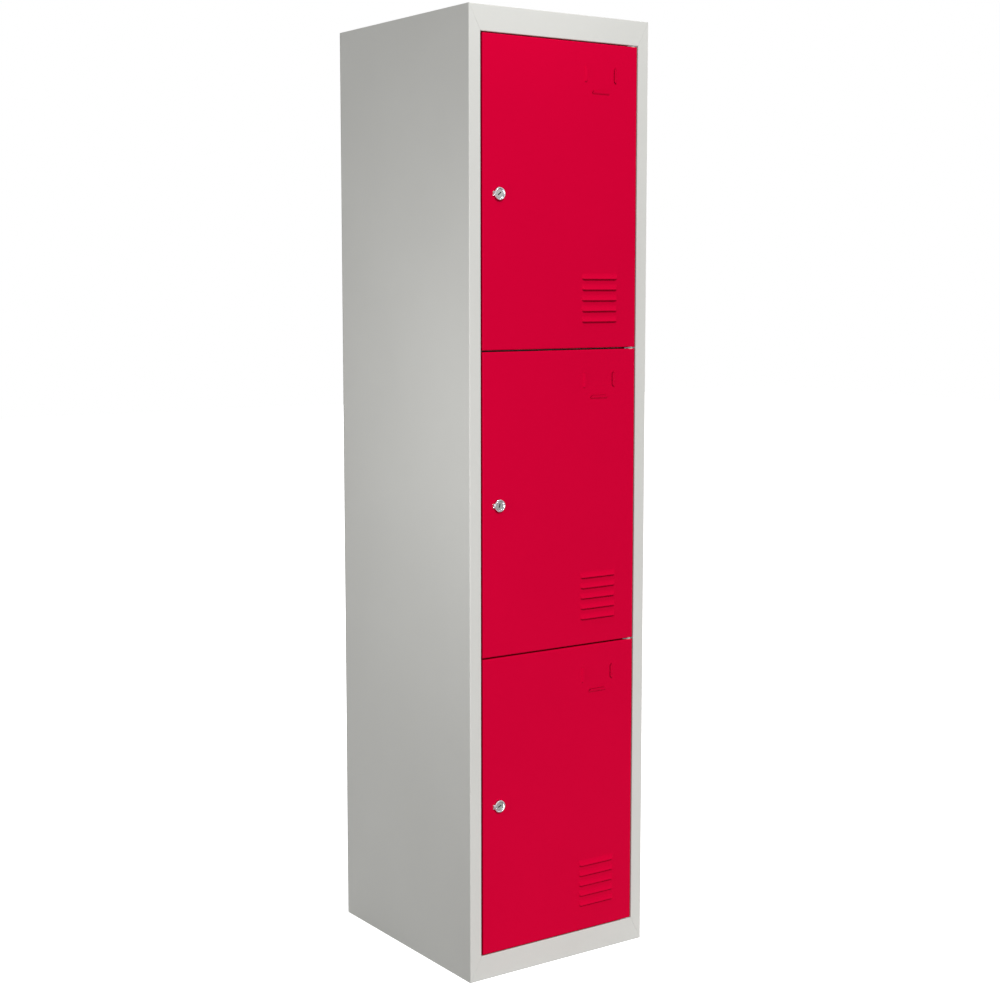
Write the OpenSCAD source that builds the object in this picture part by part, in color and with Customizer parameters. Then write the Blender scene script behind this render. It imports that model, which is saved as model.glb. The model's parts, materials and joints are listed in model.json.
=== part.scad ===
// Three-compartment steel locker: folded sheet carcass, louvred pan doors on pivot hinges, cam locks.
// X runs to the right, Y to the back and Z up. The origin is at the middle of the footprint.

/* [Carcass] */
// Width over the side panels
body_w = 410; // [340:5:500]
// Depth from the front frame to the back panel
body_d = 460; // [350:5:600]
// Height
body_h = 1800; // [1500:10:2100]
// Thickness of the carcass sheet
sheet_t = 0.8; // [0.6:0.1:1.2]
// Inside radius of the carcass folds
fold_r = 0.8; // [0.4:0.1:1.5]
// Width of the flanges that join the panels
flange_w = 15; // [10:1:22]
// Clearance between joined panels
seam = 0.2; // [0.1:0.05:0.4]

/* [Front frame] */
// Width of the two stiles
stile_w = 25; // [20:1:40]
// Height of the top rail
top_rail_h = 47; // [40:1:80]
// Height of the bottom rail
bottom_rail_h = 47; // [30:1:80]
// Width of the lip that the doors close against
lip_w = 12; // [10:1:16]

/* [Shelves] */
// Height of a shelf's folded front edge
shelf_front_h = 32; // [24:1:45]
// Return at the foot of that edge
shelf_return = 12; // [8:1:18]
// Height of a shelf's deck above the gap between two doors
shelf_over_gap = 12; // [8:1:18]

/* [Doors] */
// Thickness of the door sheet
door_t = 1; // [0.8:0.1:1.2]
// Depth of the door pan
door_depth = 20; // [17:1:26]
// How far the door face stands in front of the frame
door_proud = 1.5; // [1:0.25:5]
// Outside radius of the door's front edges
door_edge_r = 2; // [1.5:0.1:2.5]
// Width of the flanges along the door's back edges
door_return = 12; // [8:1:16]
// Gap between a door's upright edges and the frame
side_gap = 3; // [2.6:0.1:4]
// Space behind a closed door, filled by its buffers
stop_gap = 2.5; // [2.2:0.1:4]
// Width over the stiffener's two feet
stiffener_w = 56; // [44:1:70]
// Depth of the stiffener
stiffener_depth = 12; // [8:1:15]
// Distance of the stiffener's ends from the door's ends
stiffener_end = 25; // [15:1:60]

/* [Louvres] */
// Number of louvres in each door
louvre_count = 5; // [3:1:7]
// Length of a louvre
louvre_len = 84; // [60:1:110]
// Distance from one louvre to the next
louvre_pitch = 20; // [16:1:24]
// Height of the lowest lip above the door's bottom edge
louvre_low = 50; // [35:1:90]
// Height of a louvre's hood
louvre_rise = 11; // [8:0.5:13]
// How far a louvre's lip stands out
louvre_out = 4; // [2.5:0.25:4.4]
// Distance from the door's hinge edge to the middle of the louvres
louvre_inset = 87; // [70:1:110]

/* [Card holder] */
// Distance between the two upright tabs
card_w = 63; // [50:1:90]
// Length of an upright tab
card_side_len = 28; // [20:1:36]
// Length of the bottom tab
card_foot_len = 40; // [30:1:46]
// Distance of the upright tabs from the door's top edge
card_top = 43; // [30:1:70]
// Drop from the top of the upright tabs to the bottom tab's slit
card_h = 44; // [38:1:60]
// Width of a tab
card_rise = 6.5; // [5:0.5:8]
// How much of a tab's ends is clipped off beside its slit
card_clip = 3.5; // [2:0.5:4.5]
// How far a tab stands out
card_out = 2; // [1.6:0.1:3]

/* [Hinges] */
// Radius of the hinge pins
pin_r = 2.5; // [2:0.1:3]
// Running clearance of a pin in its bush
pin_fit = 0.05; // [0.03:0.01:0.08]
// Distance of the hinge line from the door's face and from its edge
pin_inset = 7; // [6.8:0.1:7.5]
// Length of a pin inside the door
pin_reach = 10; // [8:0.5:16]
// Thickness of the hinge plates
plate_t = 1.4; // [1.2:0.1:3]
// Width of the hinge plates
plate_w = 22; // [18:1:30]
// Reach of a plate's nose past the hinge line
plate_reach = 10; // [4:1:16]
// Length of the tab that holds a plate in the stile
tab_len = 9; // [6:0.5:10]
// Gap between a door's end and a hinge plate
plate_play = 0.9; // [0.6:0.1:1.5]
// Outside radius of the bushes
bush_r = 4; // [3.6:0.1:4.4]
// Radius of a bush's flange
bush_flange_r = 5.8; // [5:0.1:6.2]
// Length of a bush
bush_len = 6; // [4:0.5:7]
// Play between a bush and the hinge plate
bush_play = 0.3; // [0.2:0.05:0.4]

/* [Locks] */
// Distance of the lock from the door's closing edge
lock_inset = 36; // [34:1:42]
// Radius of the lock's head
head_r = 12; // [11.5:0.25:14]
// Thickness of the lock's head
head_h = 4.6; // [4.5:0.1:6]
// Height of the slotted ear beside the head
ear_h = 8.6; // [6:0.2:11]
// How far the ear stands out from the head
ear_out = 2.6; // [2.4:0.2:4.4]
// Width of the ear's slot
ear_slot_w = 1.2; // [0.8:0.1:1.8]
// Radius of the threaded barrel
barrel_r = 9.4; // [8.8:0.1:10]
// Width over the barrel's two flats
barrel_flats = 16; // [15:0.25:17]
// Radius of the plug
plug_r = 6.5; // [5.8:0.1:6.8]
// Radius of the plug's face
plug_face_r = 7.8; // [7.4:0.1:8.2]
// Running clearance of the plug
plug_fit = 0.06; // [0.03:0.01:0.09]
// Depth of the plug's face below the head's rim
plug_recess = 2.8; // [2:0.1:3.2]
// Width of the key slot
key_slot_w = 2.2; // [1.6:0.1:3]
// Length of the key slot
key_slot_len = 8.4; // [7:0.1:10]
// Depth of the key slot
key_slot_depth = 14; // [8:1:18]
// Thickness of the lock nut
nut_t = 5; // [4:0.5:7]
// Width across the nut's flats
nut_flats = 24; // [22:0.5:27]
// Thickness of the cam
cam_t = 2; // [1.5:0.1:3]
// Width of the cam
cam_w = 16; // [14:0.5:18]
// Length of the cam from the lock's centre to its tip
cam_len = 38; // [36:0.5:42]
// Clearance between the turned cam and the lip
cam_clear = 0.8; // [0.5:0.1:2]
// Width of the plug's square tail
tail_w = 7; // [6:0.1:8]
// Radius of the cam screw's shank
screw_r = 2.4; // [2:0.1:2.5]

/* [Coat hooks and buffers] */
// Height of a coat hook
hook_h = 46; // [38:1:60]
// Radius of the hook's round bar
hook_bar_r = 3; // [2.5:0.25:4]
// Radius of a hook's bend
hook_bend_r = 11; // [9:0.5:13]
// Thickness of the hook's foot plate
hook_foot_t = 2; // [1.5:0.25:3]
// Radius of a door buffer
buffer_r = 4.5; // [3.5:0.25:4.75]
// Distance of the buffers from the ends of their door
buffer_end = 60; // [40:5:120]

/* [Wall fixing] */
// Distance between the two wall holes
wall_hole_spacing = 240; // [150:10:280]
// Distance of the wall holes from the top
wall_hole_drop = 100; // [70:5:200]
// Radius of the wall holes
wall_hole_r = 4; // [3:0.25:6]

/* [Hidden] */
$fn = 48;

// Levels, counted from the floor
lower = 0;
middle = 1;
upper = 2;
level_count = 3;

// A cut runs this far past the face that it opens
over = 1;
// Sheet lost along a lanced edge
lance = 0.2;
// Straight steps that stand for the curve of one fold
fold_steps = 4;
// Straight steps along the curve of a pressing
press_steps = 8;
// A louvre falls away steeply just behind its lip; a card tab runs level and bends down at its root
louvre_crown = 1;
louvre_ease = 1.6;
card_crown = 4;
card_ease = 1.2;

grey = [0.84, 0.84, 0.82];
red = [0.82, 0, 0.19];
zinc = [0.72, 0.73, 0.75];
chrome = [0.88, 0.89, 0.9];
nylon = [0.93, 0.92, 0.88];
rubber = [0.12, 0.12, 0.13];

// Planes from front to back
front_reach = door_proud + max(head_h, louvre_out, card_out);
face_y = (front_reach - body_d) / 2;
back_y = face_y + body_d;
panel_end_y = back_y - sheet_t - seam;
deck_end_y = panel_end_y - sheet_t - fold_r;
door_y = face_y - door_proud;
door_back_y = door_y + door_depth;
lip_y = door_back_y + stop_gap;
lip_back_y = lip_y + sheet_t;
shelf_y = lip_back_y + seam;

// Sideways
half_w = body_w / 2;
stile_x = half_w - stile_w;
lip_x = stile_x - lip_w;
inside_x = half_w - sheet_t - seam;
door_w = 2 * (stile_x - side_gap);
hinge_x = door_w / 2 - pin_inset;
hinge_y = door_y + pin_inset;
lock_x = lock_inset - door_w / 2;
louvre_x = door_w / 2 - louvre_inset;

// Heights
end_gap = plate_t + plate_play;
door_split = plate_t + 2 * plate_play;
rail_z = body_h - top_rail_h;
door_h = (rail_z - bottom_rail_h - 2 * end_gap - (level_count - 1) * door_split) / level_count;
function door_z(level) = bottom_rail_h + end_gap + level * (door_h + door_split);
function split_z(level) = door_z(level) + door_h + door_split / 2;
function shelf_z(level) = split_z(level) + shelf_over_gap;
// Underside of what closes a compartment above
function ceiling_z(level) = (level == upper ? body_h : shelf_z(level)) - sheet_t;

// Lock, measured along its axis from the door's face, outwards positive
cam_front = door_y - lip_back_y - cam_clear;
barrel_end = cam_front + seam;
tail_end = cam_front - cam_t;
plug_face = head_h - plug_recess;
plug_step = head_h / 8;

function unit(v) = v / norm(v);
function left_of(v) = [-v[1], v[0]];
function turned(v, a) = [v[0] * cos(a) - v[1] * sin(a), v[0] * sin(a) + v[1] * cos(a)];
function turn_sign(a, b) = a[0] * b[1] - a[1] * b[0] > 0 ? 1 : -1;

// One edge of a folded sheet: its middle line p, moved sideways by off, with a curve at each fold
function sheet_edge(p, r, off) = [
    p[0] + left_of(unit(p[1] - p[0])) * off,
    for (i = [1 : len(p) - 2])
        let (a = unit(p[i] - p[i - 1]), b = unit(p[i + 1] - p[i]))
        let (s = turn_sign(a, b), turn = acos(a * b))
        let (centre = p[i] - a * r * tan(turn / 2) + left_of(a) * s * r)
        for (k = [0 : fold_steps])
            centre - left_of(turned(a, s * turn * k / fold_steps)) * (s * r - off),
    p[len(p) - 1] + left_of(unit(p[len(p) - 1] - p[len(p) - 2])) * off
];
function reversed(p) = [for (i = [len(p) - 1 : -1 : 0]) p[i]];

// Cross-section of a folded sheet whose middle line is p
module folded(p, t = sheet_t) {
    r = fold_r + t / 2;
    polygon(concat(sheet_edge(p, r, t / 2), reversed(sheet_edge(p, r, -t / 2))));
}

// Section in Y and Z, drawn along X about the middle
module along_x(len) {
    rotate([90, 0, 90])
        linear_extrude(len, center = true)
            children();
}

// Section in X and Z, drawn along Y from y1 to y2
module along_y(y1, y2) {
    translate([0, y2, 0])
        rotate([90, 0, 0])
            linear_extrude(y2 - y1)
                children();
}

module both_sides() {
    children();
    mirror([1, 0, 0])
        children();
}

module block(low, high) {
    translate(low)
        cube(high - low);
}

// What the mitre takes off a stile at the corner that lies at height z0; the rail's inner edge is at z1
module stile_mitre(z0, z1) {
    up = z0 > z1 ? 1 : -1;
    edge_x = sheet_t - half_w;
    edge_z = z0 + (z1 - z0) * sheet_t / stile_w;
    along_y(face_y - over, lip_back_y + over)
        polygon([[edge_x, z0 + up * over], [edge_x, edge_z], [-stile_x, z1 - up * seam],
            [-lip_x + over, z1 - up * seam], [-lip_x + over, z0 + up * over]]);
    // Behind the front sheet the return and the lip end square
    along_y(face_y + sheet_t, lip_back_y + over)
        polygon([[-stile_x - sheet_t - fold_r, z0 + up * over], [-stile_x - sheet_t - fold_r, z1 - up * seam],
            [-lip_x + over, z1 - up * seam], [-lip_x + over, z0 + up * over]]);
}

// What the mitre takes off a rail at the same corner
module rail_mitre(z0, z1) {
    up = z0 > z1 ? 1 : -1;
    along_y(face_y - over, face_y + sheet_t + fold_r)
        polygon([[-half_w - over, z0 + up * over], [seam - half_w, z0 + up * over], [seam - half_w, z0],
            [seam - stile_x, z1], [seam - stile_x, z1 - up * over], [-half_w - over, z1 - up * over]]);
}

// Left side: wall, stile, return and lip in one folded sheet, with a flange at the back
module side_panel() {
    wall_x = sheet_t / 2 - half_w;
    return_x = -stile_x - sheet_t / 2;
    difference() {
        linear_extrude(body_h)
            folded([[flange_w - half_w, panel_end_y - sheet_t / 2], [wall_x, panel_end_y - sheet_t / 2],
                [wall_x, face_y + sheet_t / 2], [return_x, face_y + sheet_t / 2],
                [return_x, lip_y + sheet_t / 2], [-lip_x, lip_y + sheet_t / 2]]);
        stile_mitre(body_h, rail_z);
        stile_mitre(0, bottom_rail_h);
        block([sheet_t - half_w, panel_end_y - 2 * sheet_t - fold_r, body_h - flange_w - seam],
            [flange_w + over - half_w, panel_end_y + over, body_h + over]);
    }
}

module left_side_panel() {
    color(grey)
        side_panel();
}

module right_side_panel() {
    color(grey)
        difference() {
            mirror([1, 0, 0])
                side_panel();
            for (z = plate_heights())
                translate([0, 0, z])
                    block([stile_x - sheet_t - over, tab_y() - seam, -seam / 2],
                        [stile_x + over, tab_y() + tab_len + seam, plate_t + seam / 2]);
        }
}

// Flanges down both sides of a deck whose top is at z
module side_flanges(z, y1, y2) {
    both_sides()
        block([inside_x - sheet_t, y1, z - flange_w], [inside_x, y2, z]);
}

// Top: rail, return and lip in front, the deck, and a flange behind
module top_panel() {
    deck_z = body_h - sheet_t / 2;
    rail_y = face_y + sheet_t / 2;
    rear_y = panel_end_y - sheet_t / 2;
    color(grey) {
        difference() {
            along_x(2 * inside_x)
                folded([[lip_y + sheet_t / 2, rail_z - lip_w], [lip_y + sheet_t / 2, rail_z + sheet_t / 2],
                    [rail_y, rail_z + sheet_t / 2], [rail_y, deck_z], [rear_y, deck_z],
                    [rear_y, body_h - flange_w]]);
            both_sides() {
                rail_mitre(body_h, rail_z);
                block([-half_w, face_y + sheet_t, rail_z - lip_w - over],
                    [seam - stile_x, lip_back_y + over, rail_z + sheet_t + fold_r]);
                block([-half_w, lip_y - fold_r, rail_z - lip_w - over],
                    [seam - lip_x, lip_back_y + over, rail_z]);
            }
        }
        side_flanges(body_h, face_y + sheet_t + fold_r, panel_end_y - sheet_t);
    }
}

// Base: foot flange, bottom rail and the lowest compartment's floor
module base_panel() {
    deck_z = bottom_rail_h - sheet_t / 2;
    rail_y = face_y + sheet_t / 2;
    rear_y = deck_end_y - sheet_t / 2;
    color(grey) {
        difference() {
            along_x(2 * inside_x)
                folded([[face_y + flange_w, sheet_t / 2], [rail_y, sheet_t / 2], [rail_y, deck_z],
                    [rear_y, deck_z], [rear_y, bottom_rail_h - flange_w]]);
            both_sides()
                rail_mitre(0, bottom_rail_h);
        }
        side_flanges(bottom_rail_h, lip_back_y, deck_end_y - sheet_t);
    }
}

module back_panel() {
    color(grey)
        along_y(back_y - sheet_t, back_y)
            difference() {
                translate([-half_w, 0])
                    square([body_w, body_h]);
                for (x = [-0.5, 0.5] * wall_hole_spacing)
                    translate([x, body_h - wall_hole_drop])
                        circle(wall_hole_r);
            }
}

// Shelf with a deep folded front edge, which both neighbouring doors close against
module shelf(level) {
    z = shelf_z(level);
    deck_z = z - sheet_t / 2;
    front_y = shelf_y + sheet_t / 2;
    rear_y = deck_end_y - sheet_t / 2;
    foot_z = z - shelf_front_h + sheet_t / 2;
    color(grey) {
        along_x(2 * inside_x)
            folded([[shelf_y + shelf_return, foot_z], [front_y, foot_z], [front_y, deck_z],
                [rear_y, deck_z], [rear_y, z - flange_w]]);
        side_flanges(z, shelf_y + sheet_t, deck_end_y - sheet_t);
    }
}

// Undersides of the four hinge plates
function plate_heights() = [rail_z - plate_t, split_z(middle) - plate_t / 2,
    split_z(lower) - plate_t / 2, bottom_rail_h];
function tab_y() = hinge_y + pin_r;

// Plate in the gap beside the doors, with a tab through the stile's return and a hole for the pin
module hinge_plate(z) {
    nose_r = pin_r + plate_t;
    nose_x = hinge_x - plate_reach;
    color(zinc)
        translate([0, 0, z])
            linear_extrude(plate_t)
                difference() {
                    union() {
                        translate([nose_x, hinge_y])
                            circle(nose_r);
                        translate([nose_x, hinge_y - nose_r])
                            square([stile_x - seam - nose_x, 2 * nose_r]);
                        translate([stile_x - seam - plate_w, hinge_y])
                            square([plate_w, lip_y - fold_r - hinge_y]);
                        translate([stile_x - seam - over, tab_y()])
                            square([sheet_t + seam + 2 * over, tab_len]);
                    }
                    translate([hinge_x, hinge_y])
                        circle(pin_r + pin_fit);
                    // The nose stays clear of the stile's front face
                    translate([stile_x - seam, hinge_y - nose_r - over])
                        square([stile_w, tab_y() - hinge_y + nose_r + over]);
                }
}

// Pin from height low to height high, with a lead on each end that is in a door
module hinge_pin(low, high, lead_low, lead_high) {
    lead = pin_r / 2;
    color(zinc)
        translate([hinge_x, hinge_y, 0])
            rotate_extrude()
                polygon([[0, low], [lead_low ? pin_r - lead : pin_r, low],
                    [pin_r, low + (lead_low ? lead : 0)], [pin_r, high - (lead_high ? lead : 0)],
                    [lead_high ? pin_r - lead : pin_r, high], [0, high]]);
}

// Section of a pressing over a slit, in Y and Z: the slit faces down, the lip stands out to -Y.
// It falls back from its lip by (1 - t ^ crown) ^ ease, as t goes from 0 to 1 up its rise.
// The hollow is the same form one sheet further in
module pressing_section(rise, out, crown, ease, inside) {
    in_y = inside ? door_t : 0;
    foot_y = inside ? door_t + over : door_t / 2;
    foot_z = inside ? -lance : 0;
    polygon([[foot_y, foot_z], [in_y - out, foot_z],
        for (t = [0 : 1 / press_steps : 1])
            [in_y - out * pow(1 - pow(t, crown), ease), rise * t],
        [foot_y, rise]]);
}

// Louvre: a hood with closed sloping ends, whose hollow is drawn in at the ends too
module louvre(inside) {
    half = louvre_len / 2 - (inside ? door_t / 2 : 0);
    in_y = inside ? door_t : 0;
    foot_y = inside ? door_t + over : door_t / 2;
    intersection() {
        along_x(louvre_len)
            pressing_section(louvre_rise, louvre_out, louvre_crown, louvre_ease, inside);
        translate([0, 0, -over])
            linear_extrude(louvre_rise + over)
                polygon([[-half, foot_y], [-half, in_y], [louvre_out - half, in_y - louvre_out],
                    [half - louvre_out, in_y - louvre_out], [half, in_y], [half, foot_y]]);
    }
}

// Card tab: a flap lanced free on three sides, its corners clipped beside the slit
module card_tab(len, inside) {
    edge = inside ? lance : 0;
    half = len / 2 + edge;
    intersection() {
        along_x(2 * half)
            pressing_section(card_rise, card_out, card_crown, card_ease, inside);
        along_y(-card_out - over, door_t + 2 * over)
            polygon([[-half, card_rise], [-half, card_clip - edge], [card_clip - half, -edge],
                [half - card_clip, -edge], [half, card_clip - edge], [half, card_rise]]);
    }
}

// All the pressings of one door: louvres below, three card tabs above
module pressings(inside) {
    translate([louvre_x, 0, 0]) {
        for (i = [0 : louvre_count - 1])
            translate([0, 0, louvre_low + i * louvre_pitch])
                louvre(inside);
        both_sides()
            translate([card_w / 2, 0, door_h - card_top - card_side_len / 2])
                rotate([0, 90, 0])
                    card_tab(card_side_len, inside);
        translate([0, 0, door_h - card_top - card_h])
            rotate([0, 180, 0])
                card_tab(card_foot_len, inside);
    }
}

// Rounded corner of a section, from the point on one side to the point on the other
function corner(c, r, from) = [for (k = [0 : fold_steps])
    c + r * [cos(from + 90 * k / fold_steps), sin(from + 90 * k / fold_steps)]];

// Section of the door pan in X and Y, or Z and Y: square behind, rounded in front
module pan_section(width, inset) {
    r = door_edge_r - inset;
    x = width / 2 - inset - r;
    y = inset + r;
    rear = door_depth + (inset > 0 ? over : 0);
    polygon(concat([[width / 2 - inset, rear], [inset - width / 2, rear]],
        corner([-x, y], r, 180), corner([x, y], r, 270)));
}

// Pan filled solid, or the hollow in it
module pan_fill(inset) {
    intersection() {
        linear_extrude(door_h)
            difference() {
                pan_section(door_w, inset);
                // The back flanges stay: the hollow leaves them standing
                if (inset > 0)
                    for (side = [-1, 1])
                        translate([side * (door_w / 2), door_depth - door_t / 2 + over])
                            square([2 * door_return, door_t + 2 * over], center = true);
            }
        translate([0, 0, door_h / 2])
            rotate([0, 90, 0])
                linear_extrude(door_w, center = true)
                    pan_section(door_h, inset);
    }
}

// Outline of the lock's barrel, grown by grow
module barrel_outline(grow) {
    intersection() {
        circle(barrel_r + grow);
        square([2 * (barrel_r + grow), barrel_flats + 2 * grow], center = true);
    }
}

// Places what is drawn about the lock's axis: Z outwards from the door's face, Y up
module at_lock(level) {
    translate([lock_x, door_y, door_z(level) + door_h / 2])
        rotate([90, 0, 0])
            children();
}

// Door: a folded pan with louvres, card tabs, a lock hole and two bush holes
module door(level) {
    color(red)
        difference() {
            translate([0, door_y, door_z(level)])
                difference() {
                    union() {
                        difference() {
                            pan_fill(0);
                            pan_fill(door_t);
                        }
                        pressings(false);
                    }
                    pressings(true);
                }
            at_lock(level)
                translate([0, 0, -door_t - over])
                    linear_extrude(door_t + 2 * over)
                        barrel_outline(seam);
            translate([hinge_x, hinge_y, door_z(level) - over])
                cylinder(door_h + 2 * over, bush_r, bush_r);
        }
}

// Hat-shaped channel behind the door's face
module door_stiffener(level) {
    foot_y = door_y + door_t + seam + door_t / 2;
    crown_y = door_y + door_t + stiffener_depth;
    web = stiffener_w / 4;
    color(red)
        translate([0, 0, door_z(level) + stiffener_end])
            linear_extrude(door_h - 2 * stiffener_end)
                translate([(lock_x + louvre_x) / 2, 0])
                    folded([[-stiffener_w / 2, foot_y], [-web, foot_y], [-web, crown_y],
                        [web, crown_y], [web, foot_y], [stiffener_w / 2, foot_y]], door_t);
}

// Flanged bush; the flange lies outside the door, at its end
module bush(z, up) {
    flange_t = plate_play - bush_play;
    color(nylon)
        translate([hinge_x, hinge_y, z])
            mirror([0, 0, up ? 0 : 1])
                rotate_extrude()
                    polygon([[pin_r + pin_fit, -bush_len], [bush_r - seam / 8, -bush_len],
                        [bush_r - seam / 8, 0], [bush_flange_r, 0], [bush_flange_r, flange_t],
                        [pin_r + pin_fit, flange_t]]);
}

module top_bush(level) {
    bush(door_z(level) + door_h, true);
}

module bottom_bush(level) {
    bush(door_z(level), false);
}

// Upright outline with round ends, about the origin
module upright_slot(width, height) {
    square([width, height - width], center = true);
    for (side = [-1, 1])
        translate([0, side * (height - width) / 2])
            circle(width / 2);
}

// Housing: rimmed head with a slotted ear beside it, and a barrel with two flats
module lock_housing(level) {
    rim = (head_r - plug_face_r) / 3;
    bore_r = plug_r + plug_fit;
    seat_r = plug_face_r + plug_fit;
    flare_end = plug_face + 1.5 * plug_recess - barrel_end;
    foot_t = head_h * 0.4;
    ear_x = -head_r - ear_out / 2;
    color(chrome)
        at_lock(level)
            difference() {
                union() {
                    rotate_extrude()
                        polygon([[0, 0], [head_r, 0], [head_r, foot_t], [head_r - rim * 0.35, head_h * 0.8],
                            [head_r - rim, head_h], [0, head_h]]);
                    translate([0, 0, barrel_end])
                        linear_extrude(-barrel_end + over / 2)
                            barrel_outline(0);
                    linear_extrude(foot_t) {
                        translate([ear_x, 0])
                            upright_slot(ear_out, ear_h);
                        translate([ear_x, -ear_h / 2])
                            square([-ear_x, ear_h]);
                    }
                }
                // Stepped bore of the plug, open in front with a flared rim
                translate([0, 0, barrel_end])
                    rotate_extrude()
                        polygon([[0, -over], [bore_r, -over], [bore_r, plug_step - barrel_end],
                            [seat_r, plug_step - barrel_end], [seat_r, plug_face - barrel_end],
                            [seat_r + plug_recess, flare_end], [0, flare_end]]);
                translate([ear_x, 0, -over])
                    linear_extrude(head_h + 2 * over)
                        upright_slot(ear_slot_w, ear_h - ear_out + ear_slot_w);
            }
}

module lock_nut(level) {
    color(zinc)
        at_lock(level)
            translate([0, 0, -door_t - seam / 2 - nut_t])
                difference() {
                    cylinder(nut_t, nut_flats / sqrt(3), nut_flats / sqrt(3), $fn = 6);
                    translate([0, 0, -over])
                        cylinder(nut_t + 2 * over, barrel_r + seam / 2, barrel_r + seam / 2);
                }
}

// How far each key slot stands from upright, as its lock was left
function key_turn(level) = [65, 15, 50][level];

// Plug with its key slot, and the square tail that carries the cam
module lock_plug(level) {
    face_edge = (plug_face - plug_step) / 3;
    color(zinc)
        at_lock(level)
            difference() {
                union() {
                    translate([0, 0, barrel_end])
                        rotate_extrude()
                            polygon([[0, 0], [plug_r, 0], [plug_r, plug_step + plug_fit - barrel_end],
                                [plug_face_r, plug_step + plug_fit - barrel_end],
                                [plug_face_r, plug_face - face_edge - barrel_end],
                                [plug_face_r - face_edge, plug_face - barrel_end],
                                [0, plug_face - barrel_end]]);
                    translate([-tail_w / 2, -tail_w / 2, tail_end])
                        cube([tail_w, tail_w, barrel_end - tail_end + over]);
                }
                rotate([0, 0, -key_turn(level)])
                    translate([-key_slot_w / 2, -key_slot_len / 2, plug_face - key_slot_depth])
                        cube([key_slot_w, key_slot_len, key_slot_depth + over]);
                translate([0, 0, tail_end - over])
                    cylinder(screw_hole_depth() + over, screw_r + plug_fit, screw_r + plug_fit);
            }
}

// The screw's hole ends its own radius short of the key slot
function screw_hole_depth() = plug_face - key_slot_depth - screw_r - tail_end;

// Cam: hangs straight down while the lock is open
module lock_cam(level) {
    tip_r = cam_w / 4;
    eye_r = cam_w / 2 + 1;
    color(zinc)
        at_lock(level)
            translate([0, 0, tail_end])
                linear_extrude(cam_t)
                    difference() {
                        union() {
                            circle(eye_r);
                            translate([-cam_w / 2, tip_r - cam_len])
                                square([cam_w, cam_len - tip_r]);
                            translate([tip_r - cam_w / 2, -cam_len])
                                square([cam_w - 2 * tip_r, tip_r + over]);
                            for (side = [-1, 1])
                                translate([side * (cam_w / 2 - tip_r), tip_r - cam_len])
                                    circle(tip_r);
                        }
                        square(tail_w + seam, center = true);
                    }
}

// Screw that holds the cam on the plug's tail
module cam_screw(level) {
    head_t = screw_r * 1.2;
    washer_r = tail_w / 2 + screw_r / 2;
    color(zinc)
        at_lock(level)
            translate([0, 0, tail_end - seam]) {
                mirror([0, 0, 1]) {
                    cylinder(head_t / 3, washer_r, washer_r);
                    cylinder(head_t, screw_r * 1.7, screw_r * 1.7, $fn = 6);
                }
                cylinder(screw_hole_depth(), screw_r, screw_r);
            }
}

// Double hook welded under the deck above
module coat_hook(level) {
    foot = [2 * hook_bend_r + 6 * hook_bar_r, 6 * hook_bar_r];
    top_z = ceiling_z(level) - seam;
    bend_z = top_z - hook_h + hook_bend_r + hook_bar_r;
    tip_z = bend_z + hook_bend_r;
    color(zinc)
        translate([0, (shelf_y + deck_end_y) / 2, 0]) {
            translate([-foot[0] / 2, -foot[1] / 2, top_z - hook_foot_t])
                cube([foot[0], foot[1], hook_foot_t]);
            translate([0, 0, bend_z])
                cylinder(top_z - hook_foot_t / 2 - bend_z, hook_bar_r, hook_bar_r);
            both_sides() {
                translate([hook_bend_r, 0, bend_z])
                    rotate([90, 0, 0])
                        rotate_extrude(angle = -180)
                            translate([hook_bend_r, 0])
                                circle(hook_bar_r);
                translate([2 * hook_bend_r, 0, bend_z])
                    cylinder(tip_z - bend_z, hook_bar_r, hook_bar_r);
                translate([2 * hook_bend_r, 0, tip_z])
                    sphere(hook_bar_r * 1.3);
            }
        }
}

// Two rubber stops for each door, on the lip beside its lock
module door_buffers() {
    height = stop_gap - bush_play;
    color(rubber)
        for (level = [lower : upper])
            for (z = [buffer_end, door_h - buffer_end])
                translate([(-stile_x - lip_x) / 2, lip_y, door_z(level) + z])
                    rotate([90, 0, 0])
                        rotate_extrude()
                            polygon([[0, 0], [buffer_r, 0], [buffer_r, height / 3],
                                [buffer_r - height / 3, height * 0.8], [buffer_r / 2, height], [0, height]]);
}

left_side_panel();
right_side_panel();
top_panel();
base_panel();
back_panel();
shelf(middle);  // upper_shelf
shelf(lower);  // lower_shelf
hinge_plate(plate_heights()[0]);  // top_hinge_plate
hinge_plate(plate_heights()[1]);  // upper_hinge_plate
hinge_plate(plate_heights()[2]);  // lower_hinge_plate
hinge_plate(plate_heights()[3]);  // bottom_hinge_plate
hinge_pin(door_z(upper) + door_h - pin_reach, rail_z, true, false);  // top_hinge_pin
hinge_pin(door_z(middle) + door_h - pin_reach, door_z(upper) + pin_reach, true, true);  // upper_hinge_pin
hinge_pin(door_z(lower) + door_h - pin_reach, door_z(middle) + pin_reach, true, true);  // lower_hinge_pin
hinge_pin(bottom_rail_h, door_z(lower) + pin_reach, false, true);  // bottom_hinge_pin
coat_hook(upper);  // upper_coat_hook
coat_hook(middle);  // middle_coat_hook
coat_hook(lower);  // lower_coat_hook
door_buffers();
door(upper);  // upper_door
door(middle);  // middle_door
door(lower);  // lower_door
door_stiffener(upper);  // upper_door_stiffener
door_stiffener(middle);  // middle_door_stiffener
door_stiffener(lower);  // lower_door_stiffener
top_bush(upper);  // upper_door_top_bush
top_bush(middle);  // middle_door_top_bush
top_bush(lower);  // lower_door_top_bush
bottom_bush(upper);  // upper_door_bottom_bush
bottom_bush(middle);  // middle_door_bottom_bush
bottom_bush(lower);  // lower_door_bottom_bush
lock_housing(upper);  // upper_lock_housing
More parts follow.
